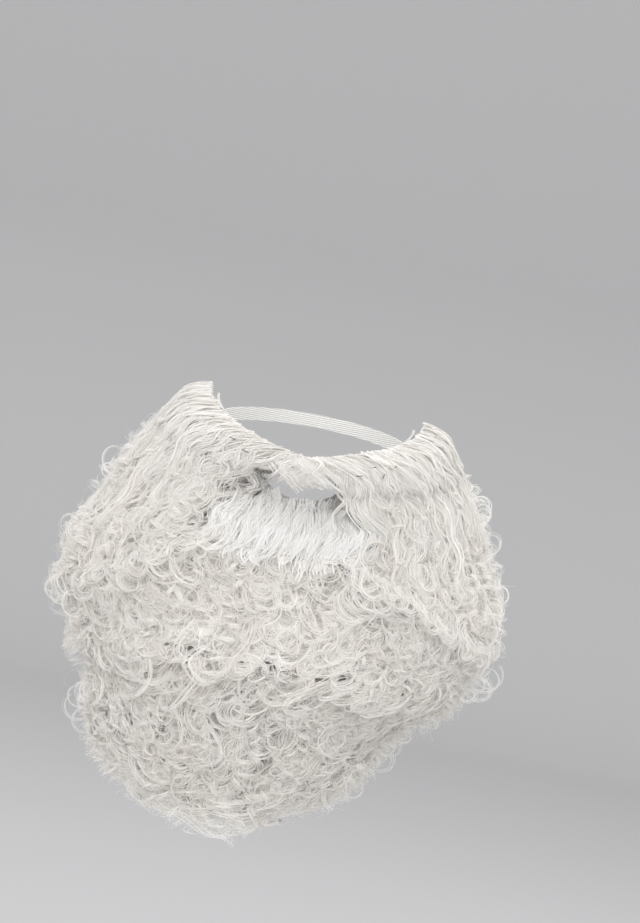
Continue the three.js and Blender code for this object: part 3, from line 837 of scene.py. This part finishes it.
def makeCurls(name, plan, side):
    plan = {**plainWeft, **plan}
    layer, span, groups = plan["layer"], [limit * side for limit in plan["span"]], []
    for kind, make, look, higher, lower in scattered:
        spots = places(layer, span, plan[kind], plan["above"] + higher, plan["below"] + lower)
        groups += make(*spots, layer, look)

    # in the gaps between this weft and its neighbours
    angle = between(span, plan["fill"])
    height = layerTop(layer, angle) + draw.uniform(*starts["fillHigh"], plan["fill"]) * mm
    groups += lockGroups(angle, height, layer, fillLook, seamDepth(layer))
    angle = plan["border"] * side + spread(plan["fill"], starts["borderSpread"])
    height = mix(layerTop(layer, angle) + starts["borderHigh"] * mm, layerTip(layer, angle),
                 draw.uniform(0, starts["borderShare"], plan["fill"]))
    groups += lockGroups(angle, height, layer, fillLook)
    groups += lockGroups(angle[::2], height[::2], layer, seamLook)
    if plan["seam"]:
        angle = np.linspace(*span, plan["seam"]) + spread(plan["seam"], starts["seamSpread"])
        height = layerTop(layer, angle) + draw.uniform(*starts["seamHigh"], plan["seam"]) * mm
        groups += lockGroups(angle, height, layer, seamLook, seamDepth(layer))
    if plan["edge"]:
        angle = between(starts["edgeAngles"], plan["edge"]) * side if plan["paired"] else between(span, plan["edge"])
        high = 1 if plan["paired"] else starts["edgeShare"]
        height = upWeft(layer, angle, starts["edgeLow"], draw.uniform(0, high, plan["edge"]))
        groups += ringletGroups(angle, height, layer, edgeLook)
        if plan["paired"]:
            angle = side * between(starts["sideAngles"], 2 * plan["edge"])
            height = upWeft(layer, angle, starts["sideLow"], draw.uniform(0, 1, len(angle)))
            groups += sideLoops(angle, height, layer, sideLook)
    if plan["over"]:
        spots = places(1, starts["overAngles"], plan["over"], starts["overAbove"], starts["overBelow"])
        groups += lockGroups(*spots, 1, loopLook)
    if plan["waves"]:
        angle = np.linspace(span[0] + starts["waveIn"] * side, mix(*span, starts["waveShare"]), plan["waves"])
        angle = angle + spread(plan["waves"], starts["waveSpread"])
        height = layerTop(layer, angle) + starts["waveHigh"] * mm + spread(plan["waves"], starts["waveLoose"] * mm)
        groups += lockGroups(angle, height, layer, waveLook)
    if plan["ends"]:
        groups += endGroups(layer, side, plan["ends"], backLook, ringletGroups, starts["endsLow"])
        under = plan["ends"] * starts["underEnds"]
        groups += endGroups(layer, side, under, underLook, lockGroups, starts["underLow"])
    if plan["inner"]:
        under = plan["inner"] * starts["underInner"]
        for count, look, make in ((plan["inner"], backLook, ringletGroups), (under, underLook, lockGroups)):
            angle = between(span, count)
            height = mix(clothBottom(angle), layerTip(layer, angle) + starts["innerLow"] * mm,
                         draw.uniform(0, 1, count))
            groups += make(angle, height, layer, look, lambda a, h: layerDepths(layer, a, h)[0], "inner")
    finishPiece(strandMesh(f"{name}_curls", groups), curlHair, [name])


for weftName, plan in wefts.items():
    for side, ending in ((-1, "_left"), (1, "_right")) if "paired" in plan else ((1, ""),):
        makeCurls(weftName + ending, plan, side)
print("curls ready")

# Combed hair: the rolled band over the lip and cheeks, and the bib under the mouth
roll = {
    "moustache": {"span": (0, 33), "locks": 30, "sweep": 23},
    "cheek_roll": {"span": (29, 89), "locks": 36, "sweep": 17},
    "past": ((-1.5, 1.5), (10, 44)), "pastFrom": ((16, 23), (10, 16)), "sweepShare": (0.5, 1.4), "sway": 2.4,
    "swayTurns": 1.4, "rootDrop": 0.4 * mm, "ends": 9, "underWidth": 6 * mm, "bridge": 0.86, "steps": 17,
    "fibres": 27, "fibreWide": (0.38, 0.68), "halfWidth": (1.8, 4.6), "gather": (1.0, 1.0, 0.8, 0.55),
    "crown": 1.2, "depth": 1.6, "stray": 1.4, "rise": (-1.0, 0.3, 1.0), "roll": 10, "swell": 0.9,
}
underRollLook = {
    **roll, "fibres": 6, "fibreWide": (1.2, 1.8), "gather": (1, 1, 1, 1), "crown": 0.2, "depth": 0.6,
    "rise": (-1, -0.6, -0.2), "swell": 0,
}
endLook = {**underLook, "hook": (10, 90), "lean": 14, "length": (20, 34)}


def besideLips(turn):
    # where the roll's locks run on down past the mouth, a little later at the left than at the right
    left, right = roll["pastFrom"]
    return np.where(turn < 0, smoothStep(-turn, *left), smoothStep(turn, *right))


def rollPath(angle, side, sweep, steps, past):
    # from the seam over the roll's crown, outward and down, and on over the cheek
    share = np.linspace(0, 1, steps)[None, :]
    swing = draw.uniform(0, 1, (len(angle), 1))
    sway = roll["sway"] * np.sin(2 * np.pi * (roll["swayTurns"] * share + swing))
    turn = angle[:, None] + side[:, None] * (sweep[:, None] * share ** 0.8 + sway)
    turn = np.clip(turn, -form["earEnd"], form["earEnd"])
    height = mix(rollTop(turn) - roll["rootDrop"], underRoll(turn)[1] - past[:, None], share ** 1.15)
    lower = smoothStep(underRoll(turn)[1] + 3 * mm - height, 0, 8 * mm)
    bridge = roll["bridge"] * besideLips(turn)
    below = np.maximum(layerDepths(1, turn, height)[1], bridge)
    depth = mix(layerDepths(0, turn, height)[1], below, lower)
    point = hairPoint(turn, height, depth)
    right = unit(hairWays(turn, height, depth)[0])
    down = unit(np.gradient(point, axis=1))
    out = unit(np.cross(down, right))
    middle = headPoint(turn, height, -0.03)
    out = out * np.sign(((point - middle) * out).sum(-1, keepdims=True))
    return {"point": point, "across": unit(np.cross(down, out)), "out": out}


def makeRoll(name, plan, sides):
    count = plan["locks"] * len(sides)
    angle = np.concatenate([np.linspace(*plan["span"], plan["locks"]) * side for side in sides]) + spread(count, 1.2)
    side = np.repeat(sides, plan["locks"]).astype(float)
    sweep = plan["sweep"] * (1 - 0.6 * earShare(angle)) * draw.uniform(*roll["sweepShare"], count)
    sweep = sweep * (1.2 * smoothStep(np.abs(angle), 0, 11) - 0.2)
    short, long = (between(limits, count) for limits in roll["past"])
    past = mix(short, long, besideLips(angle + side * sweep))
    path = rollPath(angle, side, sweep, roll["steps"], past * mm)
    groups = locks(path, roll, between(roll["halfWidth"], count) * mm)
    groups += locks(path, underRollLook, np.full(count, roll["underWidth"]))
    if len(sides) == 1:
        groups += endGroups(0, sides[0], roll["ends"], endLook, lockGroups, starts["rollEnd"])
    finishPiece(strandMesh(f"{name}_locks", groups), paintedShadeCombedHair, [name])


makeRoll("moustache", roll["moustache"], [-1, 1])
makeRoll("cheek_roll_left", roll["cheek_roll"], [-1])
makeRoll("cheek_roll_right", roll["cheek_roll"], [1])

bib = {
    "span": (-26, 26), "rows": 4, "locks": 15, "length": (18, 42), "halfWidth": (2.2, 5.0), "steps": 15, "lean": 6,
    "bend": 6, "wave": (4, 16), "waves": (0.8, 1.6), "hook": (0, 80), "hookFrom": (0.5, 0.8),
    "gather": (1.0, 1.0, 0.9, 0.7), "rise": (-1.6, 0.4, 1.4), "roll": 8, "crown": 0.8, "fibres": 25,
    "fibreWide": (0.32, 0.56), "depth": 1.2, "stray": 1.6, "swell": 0.6, "upright": 1.0, "rowDrop": 7 * mm,
}
underBib = {**bib, "fibres": 6, "fibreWide": (1.2, 1.8), "rise": (-1.6, -0.6, 0), "swell": 0, "crown": 0.2}


def makeBib():
    count = bib["locks"] * bib["rows"]
    angle = np.tile(np.linspace(*bib["span"], bib["locks"]), bib["rows"]) + spread(count, 1.6)
    row = np.repeat(np.arange(bib["rows"]), bib["locks"])
    height = overCheek(angle)[0] - 2 * mm - row * bib["rowDrop"] + spread(count, 3 * mm)
    groups = lockGroups(angle, height, 1, bib) + lockGroups(angle, height, 1, underBib)
    finishPiece(strandMesh("chin_bib_locks", groups), paintedLightBibHair, ["chin_bib"])


makeBib()
print("combed hair ready")

# Threads: dashes of dark thread on the roll, rows of stitches inside the cloth and a bar tack at each strap end
def threadMesh(name, paths, radius, sides=4):
    verts, faces = [], []
    turn = -2 * math.pi * np.arange(sides)[:, None] / sides
    for path in paths:
        base, rings = len(verts), len(path)
        tangent = unit(np.gradient(path, axis=0))[:, None]
        side = unit(np.cross(tangent, (0.31, 0.87, 0.38)))
        ring = path[:, None] + (side * np.cos(turn) + np.cross(side, tangent) * np.sin(turn)) * radius
        verts += [tuple(vert) for vert in ring.reshape(-1, 3)]
        for i in range(rings - 1):
            for k in range(sides):
                a, b = base + i * sides + k, base + i * sides + (k + 1) % sides
                faces.append((a, b, b + sides, a + sides))
        faces.append(tuple(base + k for k in reversed(range(sides))))
        faces.append(tuple(base + (rings - 1) * sides + k for k in range(sides)))
    mesh = bpy.data.meshes.new(name)
    mesh.from_pydata(verts, [], faces)
    for face in mesh.polygons:
        face.use_smooth = True
    triangles[name] = sum(len(face) - 2 for face in faces)
    return addObject(name, mesh)


stitches = {
    "dashes": [(17.5, -12.5), (24, -7.5), (26, -13.5), (33, -8), (-19, -11), (-25.5, -6.5), (-31, -10.5)],
    "dashReach": (1.6, 2.8), "dashTilt": 1.2, "dashLift": 3.4 * mm, "dashRadius": 0.3 * mm,
    "rowPitch": 3.6, "rowReach": 1.2, "rowRadius": 0.22 * mm, "rowLift": 0.12 * mm,
    "tackAngles": (79, 87), "tackHeights": (66.5 * mm, 73.5 * mm), "tackTurns": 14, "tackRadius": 0.22 * mm * 1.4,
    "strapIn": 1.9 * mm,
}


def dashPath(angle, drop):
    way = np.linspace(-0.5, 0.5, 6)
    turn = angle + way * draw.uniform(*stitches["dashReach"])
    height = rollTop(turn) + (drop + way * draw.normal(0, stitches["dashTilt"])) * mm
    depth = layerDepths(0, turn, height)[1] + stitches["dashLift"] / thickness(turn, height)
    return hairPoint(turn, height, depth)


def rowPaths(heightAt, skipMouth):
    paths = []
    for angle in np.arange(-86, 86.1, stitches["rowPitch"] * 0.5):
        if skipMouth and abs(angle) < 30:
            continue
        turn = angle + np.linspace(-0.5, 0.5, 4) * stitches["rowReach"]
        lift = stitches["rowLift"] * (1 - np.linspace(-1, 1, 4) ** 2 * 2)
        paths.append(np.stack([headPoint(t, heightAt(t), -out) for t, out in zip(turn, lift)]))
    return paths


def tackPath(side):
    count = stitches["tackTurns"]
    angle = side * np.linspace(*stitches["tackAngles"], count)
    height = np.array([stitches["tackHeights"][i % 2] for i in range(count)])
    return np.stack([headPoint(a, h, -stitches["strapIn"]) for a, h in zip(angle, height)])


dashes = threadMesh("roll_dashes", [dashPath(*place) for place in stitches["dashes"]], stitches["dashRadius"])
finishPiece(dashes, darkThread)
rows = rowPaths(lambda a: underRoll(a)[0] + 2 * mm, True)
rows += rowPaths(lambda a: upperFace(a)[0], True) + rowPaths(lambda a: clothBottom(a) + 4 * mm, False)
weftRows = threadMesh("weft_stitches", rows, stitches["rowRadius"])
finishPiece(weftRows, whiteThread)
tacks = threadMesh("strap_tacks", [tackPath(side) for side in (-1, 1)], stitches["tackRadius"])
finishPiece(tacks, whiteThread)
print("triangles", sum(triangles.values()), triangles)

# Floor, backdrop, light and camera
stageLook = {"floor": -0.42, "back": 3.4, "radius": 0.9, "width": 9.0, "front": -4.0, "height": 3.5,
             "colour": (0.45, 0.45, 0.457)}


def newVerts(made):
    return [vert for vert in made["geom"] if isinstance(vert, bmesh.types.BMVert)]


def makeStage():
    bm = bmesh.new()
    half = stageLook["width"] / 2
    edge = [bm.verts.new((x, stageLook["front"], stageLook["floor"])) for x in (-half, half)]
    line = bm.edges.new(edge)
    floor = bmesh.ops.extrude_edge_only(bm, edges=[line])
    verts = newVerts(floor)
    bmesh.ops.translate(bm, verts=verts, vec=(0, stageLook["back"] - stageLook["front"], 0))
    last = [e for e in floor["geom"] if isinstance(e, bmesh.types.BMEdge) and all(v in verts for v in e.verts)]
    centre = (0, stageLook["back"], stageLook["floor"] + stageLook["radius"])
    bmesh.ops.spin(bm, geom=verts + last, cent=centre, axis=(1, 0, 0), angle=math.pi / 2, steps=24)
    reach = max(v.co.y for v in bm.verts)
    top = [e for e in bm.edges if all(abs(v.co.y - reach) < 1e-4 for v in e.verts)
           and all(v.co.z > stageLook["floor"] + stageLook["radius"] - 1e-3 for v in e.verts)]
    wall = bmesh.ops.extrude_edge_only(bm, edges=top)
    bmesh.ops.translate(bm, verts=newVerts(wall), vec=(0, 0, stageLook["height"]))
    mesh = smoothMesh("backdrop", bm)
    mesh.materials.append(nodeTree("pale_floor", {"Roughness": 0.9, "Base Color": (*stageLook["colour"], 1)})[0])
    addObject("backdrop", mesh)


makeStage()

lights = {
    "key": {"at": (-0.9, -1.7, 1.5), "size": 1.0, "power": 15.5, "spread": 180},
    "fill": {"at": (0.3, -1.8, 0.0), "size": 0.5, "power": 0.9, "spread": 60},
    "rim": {"at": (0.5, 1.0, 1.4), "size": 0.9, "power": 8, "spread": 180},
    "aim": (0, 0, -0.02),
    "world": 1.19, "sky": (0.45, 0.45, 0.455),
}
for lightName in ("key", "fill", "rim"):
    look = lights[lightName]
    light = bpy.data.lights.new(lightName, "AREA")
    light.size, light.energy, light.spread = look["size"], look["power"], math.radians(look["spread"])
    lamp = addObject(lightName, light)
    lamp.location = look["at"]
    lamp.rotation_euler = (Vector(lights["aim"]) - Vector(look["at"])).to_track_quat("-Z", "Y").to_euler()
world = bpy.data.worlds.new("studio")
world.use_nodes = True
soft = world.node_tree.nodes["Background"]
soft.inputs["Color"].default_value = (1, 1, 1, 1)
soft.inputs["Strength"].default_value = lights["world"]
seen = add(world.node_tree, "Background", {"Color": (*lights["sky"], 1)}).outputs["Background"]
ray = add(world.node_tree, "LightPath").outputs["Is Camera Ray"]
shown = add(world.node_tree, "MixShader", {0: ray, 1: soft.outputs["Background"], 2: seen})
world.node_tree.links.new(shown.outputs["Shader"], world.node_tree.nodes["World Output"].inputs["Surface"])
bpy.context.scene.world = world
bpy.context.scene.view_settings.view_transform = "Standard"

view = {
    "scale": 0.692 * mm,        # one pixel at the front of the hair
    "chin": (292, 536),         # where the chin shows, in pixels
    "size": (640, 923), "roll": 10.8, "distance": 2.2, "plane": -0.03, "sensor": 36,
}


def makeCamera():
    tilt = math.radians(view["roll"])
    dx = view["size"][0] / 2 - view["chin"][0]
    dy = view["size"][1] / 2 - view["chin"][1]
    x = (dx * math.cos(tilt) + dy * math.sin(tilt)) * view["scale"]
    z = (dx * math.sin(tilt) - dy * math.cos(tilt)) * view["scale"]
    data = bpy.data.cameras.new("camera")
    data.sensor_width = view["sensor"]
    halfHeight = view["size"][1] / 2 * view["scale"]
    data.lens = view["sensor"] / 2 * (view["distance"] + view["plane"]) / halfHeight
    camera = addObject("camera", data)
    turn = Matrix.Rotation(-tilt, 4, "Y") @ Matrix.Rotation(math.pi / 2, 4, "X")
    camera.matrix_world = Matrix.Translation((x, -view["distance"], z)) @ turn
    bpy.context.scene.camera = camera


makeCamera()
